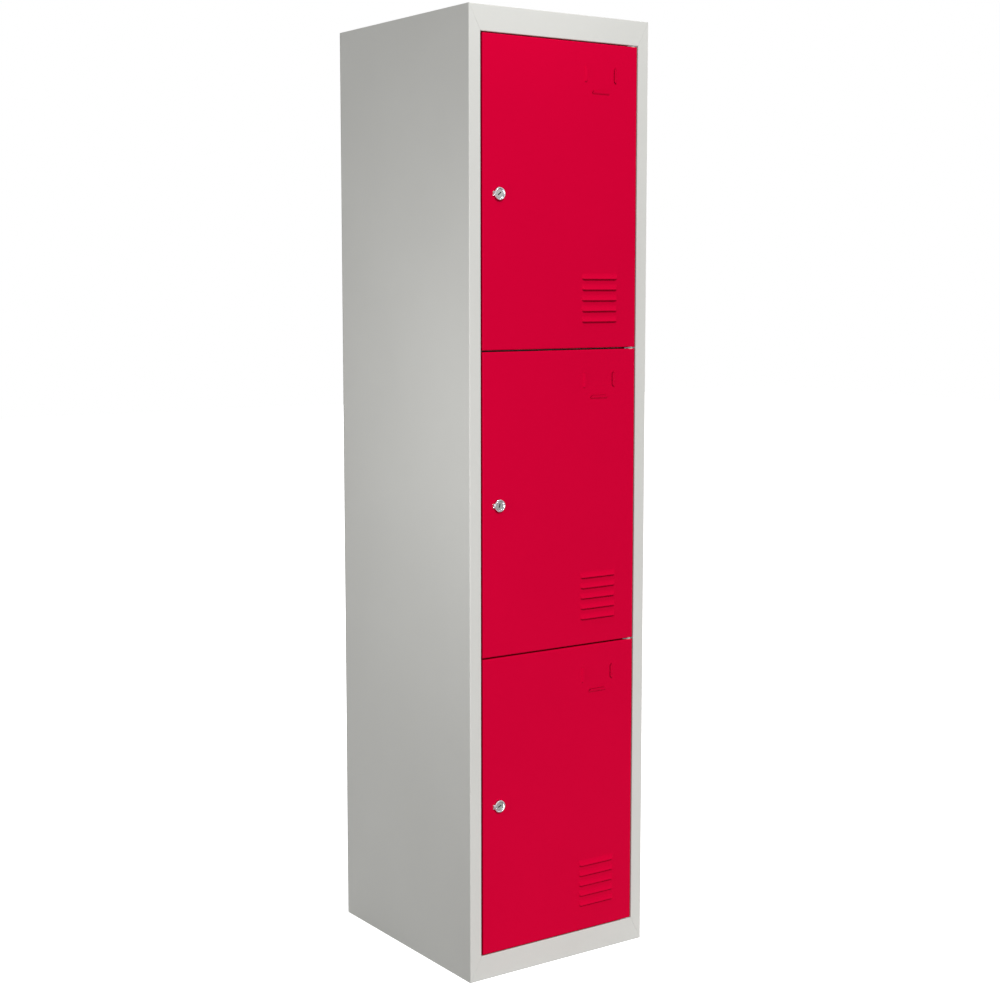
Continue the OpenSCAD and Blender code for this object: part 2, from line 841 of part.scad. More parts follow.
lock_housing(middle);  // middle_lock_housing
lock_housing(lower);  // lower_lock_housing
lock_nut(upper);  // upper_lock_nut
lock_nut(middle);  // middle_lock_nut
lock_nut(lower);  // lower_lock_nut
lock_plug(upper);  // upper_lock_plug
lock_plug(middle);  // middle_lock_plug
lock_plug(lower);  // lower_lock_plug
lock_cam(upper);  // upper_lock_cam
lock_cam(middle);  // middle_lock_cam
lock_cam(lower);  // lower_lock_cam
cam_screw(upper);  // upper_cam_screw
cam_screw(middle);  // middle_cam_screw
cam_screw(lower);  // lower_cam_screw
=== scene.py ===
import json
import math

import bmesh
import bpy
from mathutils import Matrix, Vector


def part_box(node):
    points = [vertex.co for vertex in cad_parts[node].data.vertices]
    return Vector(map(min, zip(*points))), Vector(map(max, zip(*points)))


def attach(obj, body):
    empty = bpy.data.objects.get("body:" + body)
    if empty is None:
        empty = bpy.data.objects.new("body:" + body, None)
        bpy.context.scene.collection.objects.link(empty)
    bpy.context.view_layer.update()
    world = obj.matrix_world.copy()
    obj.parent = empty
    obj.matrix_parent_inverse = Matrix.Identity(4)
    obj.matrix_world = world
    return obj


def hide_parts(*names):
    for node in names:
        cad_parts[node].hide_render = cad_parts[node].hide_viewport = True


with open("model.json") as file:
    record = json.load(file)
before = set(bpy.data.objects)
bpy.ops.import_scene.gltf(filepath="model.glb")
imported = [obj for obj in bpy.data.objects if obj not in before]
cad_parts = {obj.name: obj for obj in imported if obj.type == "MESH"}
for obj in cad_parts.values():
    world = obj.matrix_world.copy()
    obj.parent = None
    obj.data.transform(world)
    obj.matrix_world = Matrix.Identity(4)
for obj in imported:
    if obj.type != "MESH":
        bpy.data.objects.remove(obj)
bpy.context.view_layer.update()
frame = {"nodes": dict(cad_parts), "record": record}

mm = 0.001
hair = 0.01  # mm, a length that only keeps rounding out
levels = ("upper", "middle", "lower")

photoCamera = {
    "place": (-1.9598, -2.8541, 1.3008),  # metres: in front and to the left, at chest height
    "turnRight": 34.74,  # degrees
    "tiltDown": 6.31,
    "lens": 62.92,  # mm
    "sensor": 36,
    "shift": -0.02,
    "nearest": 0.05,
    "farthest": 60,
}


def placeCamera(settings):
    camera = bpy.data.cameras.new("photoCamera")
    camera.lens, camera.sensor_width = settings["lens"], settings["sensor"]
    camera.clip_start, camera.clip_end = settings["nearest"], settings["farthest"]
    camera.shift_y = settings["shift"]
    holder = bpy.data.objects.new("photoCamera", camera)
    holder.location = settings["place"]
    holder.rotation_euler = [math.radians(a) for a in (90 - settings["tiltDown"], 0, -settings["turnRight"])]
    bpy.context.scene.collection.objects.link(holder)
    bpy.context.scene.camera = holder


placeCamera(photoCamera)
bpy.context.scene.view_settings.view_transform = "Standard"
print("camera placed")


# The sRGB curve, run backwards
def linearColour(hexCode):
    channels = [int(hexCode[i:i + 2], 16) / 255 for i in (1, 3, 5)]
    return [c / 12.92 if c <= 0.04045 else ((c + 0.055) / 1.055) ** 2.4 for c in channels] + [1.0]


# A node given as a value stands for its first output
def addNode(tree, kind, inputs=(), **settings):
    node = tree.nodes.new(kind)
    for name, value in settings.items():
        setattr(node, name, value)
    for socket, value in inputs.items() if isinstance(inputs, dict) else enumerate(inputs):
        if isinstance(value, bpy.types.Node):
            value = value.outputs[0]
        if isinstance(value, bpy.types.NodeSocket):
            tree.links.new(value, node.inputs[socket])
        else:
            node.inputs[socket].default_value = value
    return node


def newSurface(name):
    material = bpy.data.materials.new(name)
    material.use_nodes = True
    tree = material.node_tree
    tree.nodes.clear()
    return material, tree


def finishSurface(tree, inputs):
    shader = addNode(tree, "ShaderNodeBsdfPrincipled", inputs)
    addNode(tree, "ShaderNodeOutputMaterial", {"Surface": shader})


# Sizes and depths in mm
coat = {
    "cloudSize": 240, "cloudDetail": 3.0,
    "peelSize": 1.6, "peelDetail": 2.0, "peelStrength": 0.35, "peelDepth": 0.06,
    "roughness": 0.42, "roughnessSpread": 0.05, "specular": 0.02,
}
plating = {"grainDetail": 4.0, "grainDepth": 0.05, "smoothest": 0.8, "roughest": 1.2}
mould = {"grainDetail": 2.0, "grainDepth": 0.05, "grainStrength": 0.3}


# Powder baked on phosphated steel: an even colour, faint clouds in the film, and orange peel in its low gloss
def powderCoat(name, hexCode, deepHex):
    material, tree = newSurface(name)
    place = addNode(tree, "ShaderNodeTexCoord").outputs["Object"]
    cloud = addNode(tree, "ShaderNodeTexNoise", {
        "Vector": place, "Scale": 1 / (coat["cloudSize"] * mm), "Detail": coat["cloudDetail"]}).outputs["Fac"]
    tone = addNode(tree, "ShaderNodeMix", {
        "Factor": cloud, "A": linearColour(hexCode), "B": linearColour(deepHex)}, data_type="RGBA")
    peel = addNode(tree, "ShaderNodeTexNoise", {
        "Vector": place, "Scale": 1 / (coat["peelSize"] * mm), "Detail": coat["peelDetail"]}).outputs["Fac"]
    gloss = addNode(tree, "ShaderNodeMapRange", {
        "Value": peel, "To Min": coat["roughness"] - coat["roughnessSpread"],
        "To Max": coat["roughness"] + coat["roughnessSpread"]})
    bump = addNode(tree, "ShaderNodeBump", {
        "Height": peel, "Strength": coat["peelStrength"], "Distance": coat["peelDepth"] * mm})
    finishSurface(tree, {
        "Base Color": tone.outputs["Result"], "Roughness": gloss, "Normal": bump,
        "Specular IOR Level": coat["specular"]})
    return material


# Plating on cast, turned or pressed metal: the grain under it breaks up what it mirrors
# Real grain is finer than a tenth of a millimetre: here it is coarser, so that it shows in a near view
def platedMetal(name, hexCode, roughness, grainSize, grain):
    material, tree = newSurface(name)
    place = addNode(tree, "ShaderNodeTexCoord").outputs["Object"]
    height = addNode(tree, "ShaderNodeTexNoise", {
        "Vector": place, "Scale": 1 / (grainSize * mm), "Detail": plating["grainDetail"]}).outputs["Fac"]
    gloss = addNode(tree, "ShaderNodeMapRange", {
        "Value": height, "To Min": roughness * plating["smoothest"],
        "To Max": roughness * plating["roughest"]})
    bump = addNode(tree, "ShaderNodeBump", {
        "Height": height, "Strength": grain, "Distance": plating["grainDepth"] * mm})
    finishSurface(tree, {
        "Base Color": linearColour(hexCode), "Metallic": 1.0, "Roughness": gloss, "Normal": bump})
    return material


# Plastic or rubber out of a mould: one colour all through, and the mould's grain, also coarser than life
def moulded(name, hexCode, roughness, grainSize):
    material, tree = newSurface(name)
    place = addNode(tree, "ShaderNodeTexCoord").outputs["Object"]
    height = addNode(tree, "ShaderNodeTexNoise", {
        "Vector": place, "Scale": 1 / (grainSize * mm), "Detail": mould["grainDetail"]}).outputs["Fac"]
    bump = addNode(tree, "ShaderNodeBump", {
        "Height": height, "Strength": mould["grainStrength"], "Distance": mould["grainDepth"] * mm})
    finishSurface(tree, {"Base Color": linearColour(hexCode), "Roughness": roughness, "Normal": bump})
    return material


greyPowderCoat = powderCoat("greyPowderCoatOnSteel", "#CFCFCB", "#C9C9C5")
crimsonPowderCoat = powderCoat("crimsonPowderCoatOnSteel", "#CC0033", "#C60031")
# Polished casting under chrome: near a mirror, with bright rims
chromePlate = platedMetal("chromePlatedZincCasting", "#DADCE0", roughness=0.14, grainSize=0.8, grain=0.1)
# Turned brass under satin nickel: a soft, faintly warm grey
satinNickel = platedMetal("satinNickelPlatedBrass", "#C4C5C2", roughness=0.3, grainSize=0.5, grain=0.2)
# Pressed steel under bright zinc: a cool grey with blurred reflections
zincPlate = platedMetal("brightZincPlatedSteel", "#9A9DA1", roughness=0.42, grainSize=0.6, grain=0.3)
# Nylon without pigment: warm white and slightly waxy
naturalNylon = moulded("mouldedNaturalNylon", "#E8E4D8", roughness=0.45, grainSize=1.2)
# Rubber with carbon black: nearly black and matt
blackRubber = moulded("mouldedBlackRubber", "#1B1B1C", roughness=0.7, grainSize=0.7)

nodeFinish = {
    "carcass_paint": greyPowderCoat, "door_paint": crimsonPowderCoat, "lock_chrome": chromePlate,
    "zinc_steel": zincPlate, "nylon": naturalNylon, "rubber": blackRubber,
}
for part in frame["record"]["subparts"]:
    mesh = frame["nodes"][part["node"]].data
    mesh.materials.clear()
    mesh.materials.append(nodeFinish[part["material_slot"]])
print("materials made:", len(bpy.data.materials))

# The door pan in mm, as it is cut and folded: all three doors are alike
doorLow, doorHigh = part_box("middle_door")
doorPan = {
    "width": (doorHigh.x - doorLow.x) / mm, "height": (doorHigh.z - doorLow.z) / mm, "depth": 20.0,
    "sheet": 1.0, "edgeRadius": 2.0, "rearRadius": 0.8, "backFlange": 12.0,
    "barrelHole": 9.6, "barrelFlats": 16.4, "barrelSides": 72, "lockInset": 36.0,
    "bushHole": 4.0, "pinInset": 7.0,
    "barrelCut": (2.0, 4.0), "bushCut": (1.0, 4.0),  # how far a hole's cut reaches out of and into the pan
}
# Louvres: a hood falls from its lip by (1 - t ^ crown) ^ ease, t running over its rise
# Its ends slope at 45 degrees and blend into it over soft times its reach
louvres = {
    "count": 5, "inset": 87.0, "length": 84.0, "pitch": 20.0, "low": 50.0,
    "rise": 11.0, "reach": 4.0, "crown": 1.0, "ease": 1.6, "soft": 0.3, "slit": 0.2,
}
# Three flaps that hold a name card, two upright and one below: lanced free on three sides, corners clipped
cardTabs = {
    "between": 63.0, "sideLength": 28.0, "footLength": 40.0, "fromTop": 43.0, "drop": 44.0,
    "rise": 6.5, "reach": 2.0, "clip": 3.5, "crown": 4.0, "ease": 1.2, "lance": 0.2, "steps": 13,
    "over": 1.0,  # how far the cut runs on behind the sheet
}
# How finely the sheet is divided, in mm
sheetGrid = {
    "widest": 24.0, "closest": 0.35, "wallStep": 6.0, "weld": 0.001,
    "hoodRows": 11, "hoodCrowding": 1.25,  # a hood's rows crowd towards its lip
    "endColumns": 9, "endWidth": 1.8,  # columns over each sloped end, which is this many times the reach wide
}
sharpAngles = {"door": 32, "lock": 28}  # degrees, past which an edge stays hard
onFace, onEdge, onWall, onFlange = range(4)  # ranks of the pan's parts, from the front backwards


def evenly(low, high, count):
    return [low + (high - low) * i / count for i in range(count + 1)]


# Even steps, none longer than the longest but for rounding
def inSteps(low, high, longest):
    return evenly(low, high, max(1, math.ceil((high - low) / longest - 1e-6)))


# Grid lines over a face: all that a pressing needs, those that it would like, and enough between
def faceLines(limit, needed, wanted):
    lines = sorted(needed + [-limit, limit])
    for mark in wanted:
        if min(abs(mark - line) for line in lines) > sheetGrid["closest"]:
            lines.append(mark)
    lines.sort()
    filled = [lines[0]]
    for low, high in zip(lines, lines[1:]):
        filled += inSteps(low, high, sheetGrid["widest"])[1:]
    return filled


# Section across the pan, from one rear edge round the front to the other: place across, depth and rank
def panSection(half, lines, flange):
    r, deep, rear = doorPan["edgeRadius"], doorPan["depth"], doorPan["rearRadius"]
    quarter = [math.radians(a) for a in (22.5, 45, 67.5, 90)]
    side = [(half - r + r * math.sin(a), r - r * math.cos(a), onEdge) for a in quarter]
    side += [(half, y, onWall) for y in inSteps(r, deep - rear, sheetGrid["wallStep"])[1:]]
    if flange:
        bend = [(half - rear + rear * math.cos(a), deep - rear + rear * math.sin(a)) for a in quarter]
        side += [(x, y, onFlange) for x, y in bend]
        side += [(half - x, deep, onFlange) for x in inSteps(rear, flange, sheetGrid["wallStep"])[1:]]
    else:
        side.append((half, deep, onWall))
    return [(-x, y, rank) for x, y, rank in reversed(side)] + [(x, 0.0, onFace) for x in lines] + side


# Lines that the louvres need and want, first across the face and then up it
def pressingLines():
    middle = doorPan["width"] / 2 - louvres["inset"]
    bottom = -doorPan["height"] / 2
    shares = [t ** sheetGrid["hoodCrowding"] for t in evenly(0, 1, sheetGrid["hoodRows"])[1:-1]]
    endBand = sheetGrid["endWidth"] * louvres["reach"]
    across, upright, wantAcross, wantUpright = [], [], [], []
    for side in (-1, 1):
        end = middle + side * louvres["length"] / 2
        across.append(end)
        wantAcross += evenly(end, end - side * endBand, sheetGrid["endColumns"])
    for i in range(louvres["count"]):
        lip = bottom + louvres["low"] + i * louvres["pitch"]
        upright += [lip - louvres["slit"], lip, lip + louvres["rise"]]
        wantUpright += [lip + louvres["rise"] * share for share in shares]
    return across, wantAcross, upright, wantUpright


# The folded sheet before pressing: one grid over face, edges, walls and flanges, origin at the face's middle
def foldedSheet():
    needX, wantX, needZ, wantZ = pressingLines()
    halfW, halfH, r = doorPan["width"] / 2, doorPan["height"] / 2, doorPan["edgeRadius"]
    columns = panSection(halfW, faceLines(halfW - r, needX, wantX), doorPan["backFlange"])
    rows = panSection(halfH, faceLines(halfH - r, needZ, wantZ), 0)
    shape = bmesh.new()
    grid = [[shape.verts.new((x, max(yx, yz), z)) for x, yx, _ in columns] for z, yz, _ in rows]
    for j in range(len(rows) - 1):
        rowRank = max(rows[j][2], rows[j + 1][2])
        for i in range(len(columns) - 1):
            rank = max(columns[i][2], columns[i + 1][2])
            cornerGap = rank >= onWall and rowRank >= onWall or rank == onFlange and rowRank >= onEdge
            if not cornerGap:
                shape.faces.new((grid[j][i], grid[j][i + 1], grid[j + 1][i + 1], grid[j + 1][i]))
    bmesh.ops.delete(shape, geom=[v for v in shape.verts if not v.link_faces], context="VERTS")
    bmesh.ops.remove_doubles(shape, verts=shape.verts, dist=sheetGrid["weld"])
    mesh = bpy.data.meshes.new("foldedSheet")
    shape.to_mesh(mesh)
    shape.free()
    return mesh


def newTree(name, inputs, outputs):
    tree = bpy.data.node_groups.new(name, "GeometryNodeTree")
    for side, sockets in (("INPUT", inputs), ("OUTPUT", outputs)):
        for title, kind in sockets.items():
            tree.interface.new_socket(title, in_out=side, socket_type="NodeSocket" + kind)
    return tree, addNode(tree, "NodeGroupInput").outputs


hoodSizes = ("Length", "Rise", "Reach", "Crown", "Ease", "Soft", "Slit")


# Depth of one hood at a point, and whether the point lies in its slit
def hoodTree():
    inputs = {name: "Float" for name in ("Along", "Across", *hoodSizes)}
    tree, given = newTree("pressedHood", inputs, {"Depth": "Float", "Slit": "Bool"})
    share = addNode(tree, "ShaderNodeMath", (
        given["Across"], given["Rise"]), operation="DIVIDE", use_clamp=True)
    crowned = addNode(tree, "ShaderNodeMath", (share, given["Crown"]), operation="POWER")
    left = addNode(tree, "ShaderNodeMath", (1.0, crowned), operation="SUBTRACT", use_clamp=True)
    fall = addNode(tree, "ShaderNodeMath", (left, given["Ease"]), operation="POWER")
    curve = addNode(tree, "ShaderNodeMath", (fall, given["Reach"]), operation="MULTIPLY")
    sideways = addNode(tree, "ShaderNodeMath", (given["Along"],), operation="ABSOLUTE")
    half = addNode(tree, "ShaderNodeMath", (given["Length"], 0.5), operation="MULTIPLY")
    ramp = addNode(tree, "ShaderNodeMath", (half, sideways), operation="SUBTRACT")
    softness = addNode(tree, "ShaderNodeMath", (given["Reach"], given["Soft"]), operation="MULTIPLY")
    pressed = addNode(tree, "ShaderNodeMath", (curve, ramp, softness), operation="SMOOTH_MIN")
    raised = addNode(tree, "ShaderNodeMath", (pressed, 0.0), operation="MAXIMUM")
    above = addNode(tree, "ShaderNodeMath", (given["Across"], -hair), operation="GREATER_THAN")
    depth = addNode(tree, "ShaderNodeMath", (raised, above), operation="MULTIPLY")
    under = addNode(tree, "ShaderNodeMath", (given["Across"], 0.0), operation="LESS_THAN")
    opening = addNode(tree, "ShaderNodeMath", (given["Across"], given["Slit"]), operation="ADD")
    inSlit = addNode(tree, "ShaderNodeMath", (opening, 0.0), operation="GREATER_THAN")
    within = addNode(tree, "ShaderNodeMath", (ramp, 0.0), operation="GREATER_THAN")
    both = addNode(tree, "ShaderNodeMath", (under, inSlit), operation="MULTIPLY")
    slit = addNode(tree, "ShaderNodeMath", (both, within), operation="MULTIPLY")
    addNode(tree, "NodeGroupOutput", {"Depth": depth, "Slit": slit})
    return tree


# Presses the louvres out of the folded sheet, the same hood at each step up the door, and opens their slits
def pressTree(hood):
    sizes = [name.capitalize() for name in louvres] + ["Width", "Height"]
    inputs = {"Geometry": "Geometry", **{name: "Float" for name in sizes}}
    tree, given = newTree("louvrePress", inputs, {"Geometry": "Geometry"})
    point = addNode(tree, "ShaderNodeSeparateXYZ", (addNode(tree, "GeometryNodeInputPosition"),)).outputs
    halfW = addNode(tree, "ShaderNodeMath", (given["Width"], 0.5), operation="MULTIPLY")
    middle = addNode(tree, "ShaderNodeMath", (halfW, given["Inset"]), operation="SUBTRACT")
    along = addNode(tree, "ShaderNodeMath", (point["X"], middle), operation="SUBTRACT")
    halfH = addNode(tree, "ShaderNodeMath", (given["Height"], 0.5), operation="MULTIPLY")
    lift = addNode(tree, "ShaderNodeMath", (point["Z"], halfH), operation="ADD")
    overLow = addNode(tree, "ShaderNodeMath", (lift, given["Low"]), operation="SUBTRACT")
    overSlit = addNode(tree, "ShaderNodeMath", (overLow, given["Slit"]), operation="ADD")
    steps = addNode(tree, "ShaderNodeMath", (overSlit, given["Pitch"]), operation="DIVIDE")
    nearLip = addNode(tree, "ShaderNodeMath", (steps, 0.001), operation="ADD")  # against rounding at a slit
    whole = addNode(tree, "ShaderNodeMath", (nearLip,), operation="FLOOR")
    last = addNode(tree, "ShaderNodeMath", (given["Count"], 1.0), operation="SUBTRACT")
    which = addNode(tree, "ShaderNodeClamp", {"Value": whole, "Min": 0.0, "Max": last})
    stepped = addNode(tree, "ShaderNodeMath", (which, given["Pitch"]), operation="MULTIPLY")
    across = addNode(tree, "ShaderNodeMath", (overLow, stepped), operation="SUBTRACT")
    oneHood = {name: given[name] for name in hoodSizes}
    pressing = addNode(tree, "GeometryNodeGroup", {
        "Along": along, "Across": across, **oneHood}, node_tree=hood)

    # Walls and flanges stay as they are
    inFront = addNode(tree, "ShaderNodeMath", (point["Y"], hair), operation="LESS_THAN")
    cut = addNode(tree, "ShaderNodeMath", (pressing.outputs["Slit"], inFront), operation="MULTIPLY")
    opened = addNode(tree, "GeometryNodeDeleteGeometry", {
        "Geometry": given["Geometry"], "Selection": cut}, domain="FACE")
    outwards = addNode(tree, "ShaderNodeMath", (pressing.outputs["Depth"], -1.0), operation="MULTIPLY")
    faceOnly = addNode(tree, "ShaderNodeMath", (outwards, inFront), operation="MULTIPLY")
    move = addNode(tree, "ShaderNodeCombineXYZ", {"Y": faceOnly})
    pressed = addNode(tree, "GeometryNodeSetPosition", {"Geometry": opened, "Offset": move})
    realized = addNode(tree, "GeometryNodeRealizeInstances", (pressed,))
    painted = addNode(tree, "GeometryNodeSetMaterial", {"Geometry": realized, "Material": crimsonPowderCoat})
    addNode(tree, "NodeGroupOutput", {"Geometry": painted})
    return tree


# A modifier's inputs are set by identifier, before it is first evaluated
def setInputs(modifier, values):
    items = modifier.node_group.interface.items_tree
    sockets = {item.name: item.identifier for item in items if item.item_type == "SOCKET"}
    for name, value in values.items():
        modifier[sockets[name]] = float(value)


def addPiece(name, mesh, material=None):
    piece = bpy.data.objects.new(name, mesh)
    bpy.context.scene.collection.objects.link(piece)
    if material:
        mesh.materials.append(material)
    return piece


def applyModifiers(piece):
    bpy.context.view_layer.update()
    result = bpy.data.meshes.new_from_object(piece.evaluated_get(bpy.context.evaluated_depsgraph_get()))
    piece.modifiers.clear()
    piece.data = result
    result.name = piece.name


# Finishes a piece: applies its modifiers, smooths its curves, and keeps its corners sharp and its flats even
def bake(piece, sharpAngle, place=None):
    applyModifiers(piece)
    if place:
        piece.data.transform(place)
    piece.data.shade_smooth()
    piece.data.set_sharp_from_angle(angle=math.radians(sharpAngle))
    evenLight = piece.modifiers.new("evenLight", "WEIGHTED_NORMAL")
    evenLight.keep_sharp = True
    applyModifiers(piece)


def cylinderInto(shape, radius, low, high, centre=(0, 0), sides=48):
    made = bmesh.ops.create_cone(
        shape, cap_ends=True, segments=sides, radius1=radius, radius2=radius, depth=high - low)
    bmesh.ops.translate(shape, verts=made["verts"], vec=(*centre, (low + high) / 2))


def boxInto(shape, low, high, turn=0.0):
    made = bmesh.ops.create_cube(shape, size=1.0)["verts"]
    bmesh.ops.scale(shape, verts=made, vec=[h - l for l, h in zip(low, high)])
    bmesh.ops.translate(shape, verts=made, vec=[(l + h) / 2 for l, h in zip(low, high)])
    bmesh.ops.rotate(shape, verts=made, cent=(0, 0, 0), matrix=Matrix.Rotation(math.radians(turn), 3, "Z"))


# Joins rings of points, each with as many points as the next, into one skin
# Closed, it runs back to the first ring, and otherwise its ends are capped
def skinInto(shape, rings, closed=True):
    grid = [[shape.verts.new(point) for point in ring] for ring in rings]
    for lower, upper in zip(grid, grid[1:] + grid[:1] if closed else grid[1:]):
        for i in range(len(lower)):
            k = (i + 1) % len(lower)
            shape.faces.new((lower[i], lower[k], upper[k], upper[i]))
    if not closed:
        shape.faces.new(reversed(grid[0]))
        shape.faces.new(grid[-1])
    bmesh.ops.recalc_face_normals(shape, faces=shape.faces)


def shapeFrom(name, fill):
    shape = bmesh.new()
    fill(shape)
    mesh = bpy.data.meshes.new(name)
    shape.to_mesh(mesh)
    shape.free()
    return addPiece(name, mesh)


def cutWith(piece, other, operation="DIFFERENCE"):
    cut = piece.modifiers.new(other.name, "BOOLEAN")
    cut.operation, cut.object, cut.solver = operation, other, "EXACT"


# Angles once round, in radians
def turns(sides):
    return [math.tau * i / sides for i in range(sides)]


# Point of a circle that two flats cut off, as they do the lock's barrel and its hole
def onFlats(radius, flats, turn):
    return radius * math.cos(turn), max(-flats / 2, min(flats / 2, radius * math.sin(turn)))


# Cuts the barrel's hole with its two flats, and the bush holes in the top and bottom walls
def doorHoles(shape):
    lockX, hingeX = doorPan["lockInset"] - doorPan["width"] / 2, doorPan["width"] / 2 - doorPan["pinInset"]
    out, into = doorPan["barrelCut"]
    ring = [onFlats(doorPan["barrelHole"], doorPan["barrelFlats"], a) for a in turns(doorPan["barrelSides"])]
    skinInto(shape, [[(lockX + x, y, z) for x, z in ring] for y in (-out, into)], closed=False)
    out, into = doorPan["bushCut"]
    for side in (-1, 1):
        wall = side * doorPan["height"] / 2
        low, high = sorted((wall + side * out, wall - side * into))
        cylinderInto(shape, doorPan["bushHole"], low, high, (hingeX, doorPan["pinInset"]))


# The three flaps as solids, or what is hollow behind and beside them
def cardForms(hollow):
    c, sheet = cardTabs, doorPan["sheet"]
    middle, top = doorPan["width"] / 2 - louvres["inset"], doorPan["height"] / 2
    front, rear, edge = (sheet, sheet + c["over"], c["lance"]) if hollow else (0.0, sheet / 2, 0.0)

    def flap(length):
        rings = []
        for across in sorted({-edge, c["clip"] - edge, *evenly(0, c["rise"], c["steps"])}):
            y = front - c["reach"] * (1 - (max(0.0, across) / c["rise"]) ** c["crown"]) ** c["ease"]
            half = length / 2 + edge - max(0.0, c["clip"] - edge - across)
            rings.append([(x, z, across) for x, z in ((-half, y), (half, y), (half, rear), (-half, rear))])
        return rings

    def fill(shape):
        sideMiddle, foot = top - c["fromTop"] - c["sideLength"] / 2, top - c["fromTop"] - c["drop"]
        for side in (-1, 1):
            root = middle + side * c["between"] / 2
            skinInto(shape, [[(root + side * z, y, sideMiddle - x) for x, y, z in ring]
                             for ring in flap(c["sideLength"])], closed=False)
        skinInto(shape, [[(middle + x, y, foot - z) for x, y, z in ring]
                         for ring in flap(c["footLength"])], closed=False)
    return fill


# Middle of a door's face, in metres
def faceMiddle(level):
    low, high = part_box(level + "_door")
    return Vector(((low.x + high.x) / 2, high.y - doorPan["depth"] * mm, (low.z + high.z) / 2))


def makeDoors():
    tree = pressTree(hoodTree())
    sizes = {name.capitalize(): value for name, value in louvres.items()}
    sizes.update({"Width": doorPan["width"], "Height": doorPan["height"]})
    sheet = foldedSheet()
    flaps, windows = shapeFrom("cardTabs", cardForms(False)), shapeFrom("cardWindows", cardForms(True))
    holes = shapeFrom("doorHoles", doorHoles)
    for level in levels:
        body = level + "_door"
        door = addPiece(level + "DoorPan", sheet.copy())
        press = door.modifiers.new("press", "NODES")
        press.node_group = tree
        setInputs(press, sizes)
        wall = door.modifiers.new("sheetThickness", "SOLIDIFY")
        wall.thickness, wall.offset, wall.use_even_offset = doorPan["sheet"], -1, True  # grows inwards
        cutWith(door, flaps, "UNION")
        cutWith(door, windows)
        cutWith(door, holes)
        bake(door, sharpAngles["door"], Matrix.Translation(faceMiddle(level)) @ Matrix.Scale(mm, 4))
        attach(door, body)
        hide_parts(body)
        print(level, "door pressed:", len(door.data.polygons), "faces")
    for spare in (flaps, windows, holes):
        bpy.data.objects.remove(spare)


makeDoors()

# Cam lock in mm about its own axis: heights run outwards from the door's face
camLock = {
    "headRadius": 12.0, "headHeight": 4.6, "footHeight": 1.84, "shoulderRadius": 11.51, "shoulderShare": 0.8,
    "rimRadius": 10.6, "lipSteepness": 1.5,
    "footRound": 0.8, "shoulderRound": 0.6, "rimRound": 0.5, "lipRound": 0.3,
    "earHeight": 8.6, "earReach": 2.6, "earSlot": 1.2, "earRoot": 1.5, "earEdge": 0.3,
    "barrelRadius": 9.4, "barrelFlats": 16.0, "barrelEnd": -23.9,
    "threadPitch": 1.0, "threadDepth": 0.4, "rowsPerTurn": 6,
    "boreRadius": 6.56, "seatRadius": 7.86, "seatHeight": 0.575, "plugFit": 0.06, "recess": 2.8,
    "faceCap": 0.8, "grooveWidth": 0.5, "grooveSlope": 0.15, "grooveDepth": 0.25,
    "faceRound": 0.33, "stemEdge": 0.4,
    "tailWidth": 7.0, "tailEnd": -26.1, "screwHole": 2.46, "screwHoleDepth": 11.5,
    "keySlotWidth": 2.2, "keySlotLength": 8.4, "keySlotDepth": 14.0,
    "keyTurn": {"upper": 50.0, "middle": 15.0, "lower": 65.0},  # degrees from upright, as each lock was left
    "sides": 96,
    "over": 1.0,  # how far a tool runs past the metal
}


# Rounds a corner of a profile with an arc of the given radius, both its sides being longer than that
def roundCorner(before, corner, after, radius, steps=4):
    a, b = (Vector(before) - Vector(corner)).normalized(), (Vector(after) - Vector(corner)).normalized()
    half = a.angle(b) / 2
    centre = Vector(corner) + (a + b).normalized() * radius / math.sin(half)
    first, last = Vector(corner) + a * radius / math.tan(half), Vector(corner) + b * radius / math.tan(half)
    arc = [(first - centre).slerp(last - centre, i / steps) for i in range(steps + 1)]
    return [tuple(centre + spoke * radius) for spoke in arc]


# Rings of a profile that is given as pairs of radius and height
def lathe(profile):
    return [[(r * math.cos(a), r * math.sin(a), z) for a in turns(camLock["sides"])] for r, z in profile]


# Barrel skin from the head down to its end: a true helix, cut off by the two flats
def threadedBarrel():
    c = camLock
    rows = round(-c["barrelEnd"] / c["threadPitch"] * c["rowsPerTurn"])
    rings = []
    for j in range(rows + 1):
        z = c["barrelEnd"] * j / rows
        fade = min(1.0, j / c["rowsPerTurn"], (rows - j) / c["rowsPerTurn"])
        ring = []
        for i, a in enumerate(turns(c["sides"])):
            phase = (z / c["threadPitch"] + i / c["sides"]) % 1.0
            r = c["barrelRadius"] - c["threadDepth"] * fade * abs(2 * phase - 1)
            ring.append((*onFlats(r, c["barrelFlats"], a), z))
        rings.append(ring)
    return rings


def housingHead(shape):
    c = camLock
    top, base = c["headHeight"], (c["headRadius"], 0.0)
    foot, shoulder = (c["headRadius"], c["footHeight"]), (c["shoulderRadius"], top * c["shoulderShare"])
    rim, lip = (c["rimRadius"], top), (c["seatRadius"] + c["recess"] / c["lipSteepness"], top)
    seat = (c["seatRadius"], top - c["recess"])
    profile = [base] + roundCorner(base, foot, shoulder, c["footRound"])
    profile += roundCorner(foot, shoulder, rim, c["shoulderRound"])
    profile += roundCorner(shoulder, rim, lip, c["rimRound"]) + roundCorner(rim, lip, seat, c["lipRound"])
    profile += [seat, (c["seatRadius"], c["seatHeight"]), (c["boreRadius"], c["seatHeight"])]
    profile += [(c["boreRadius"], c["barrelEnd"])]
    skinInto(shape, threadedBarrel() + lathe(reversed(profile)))


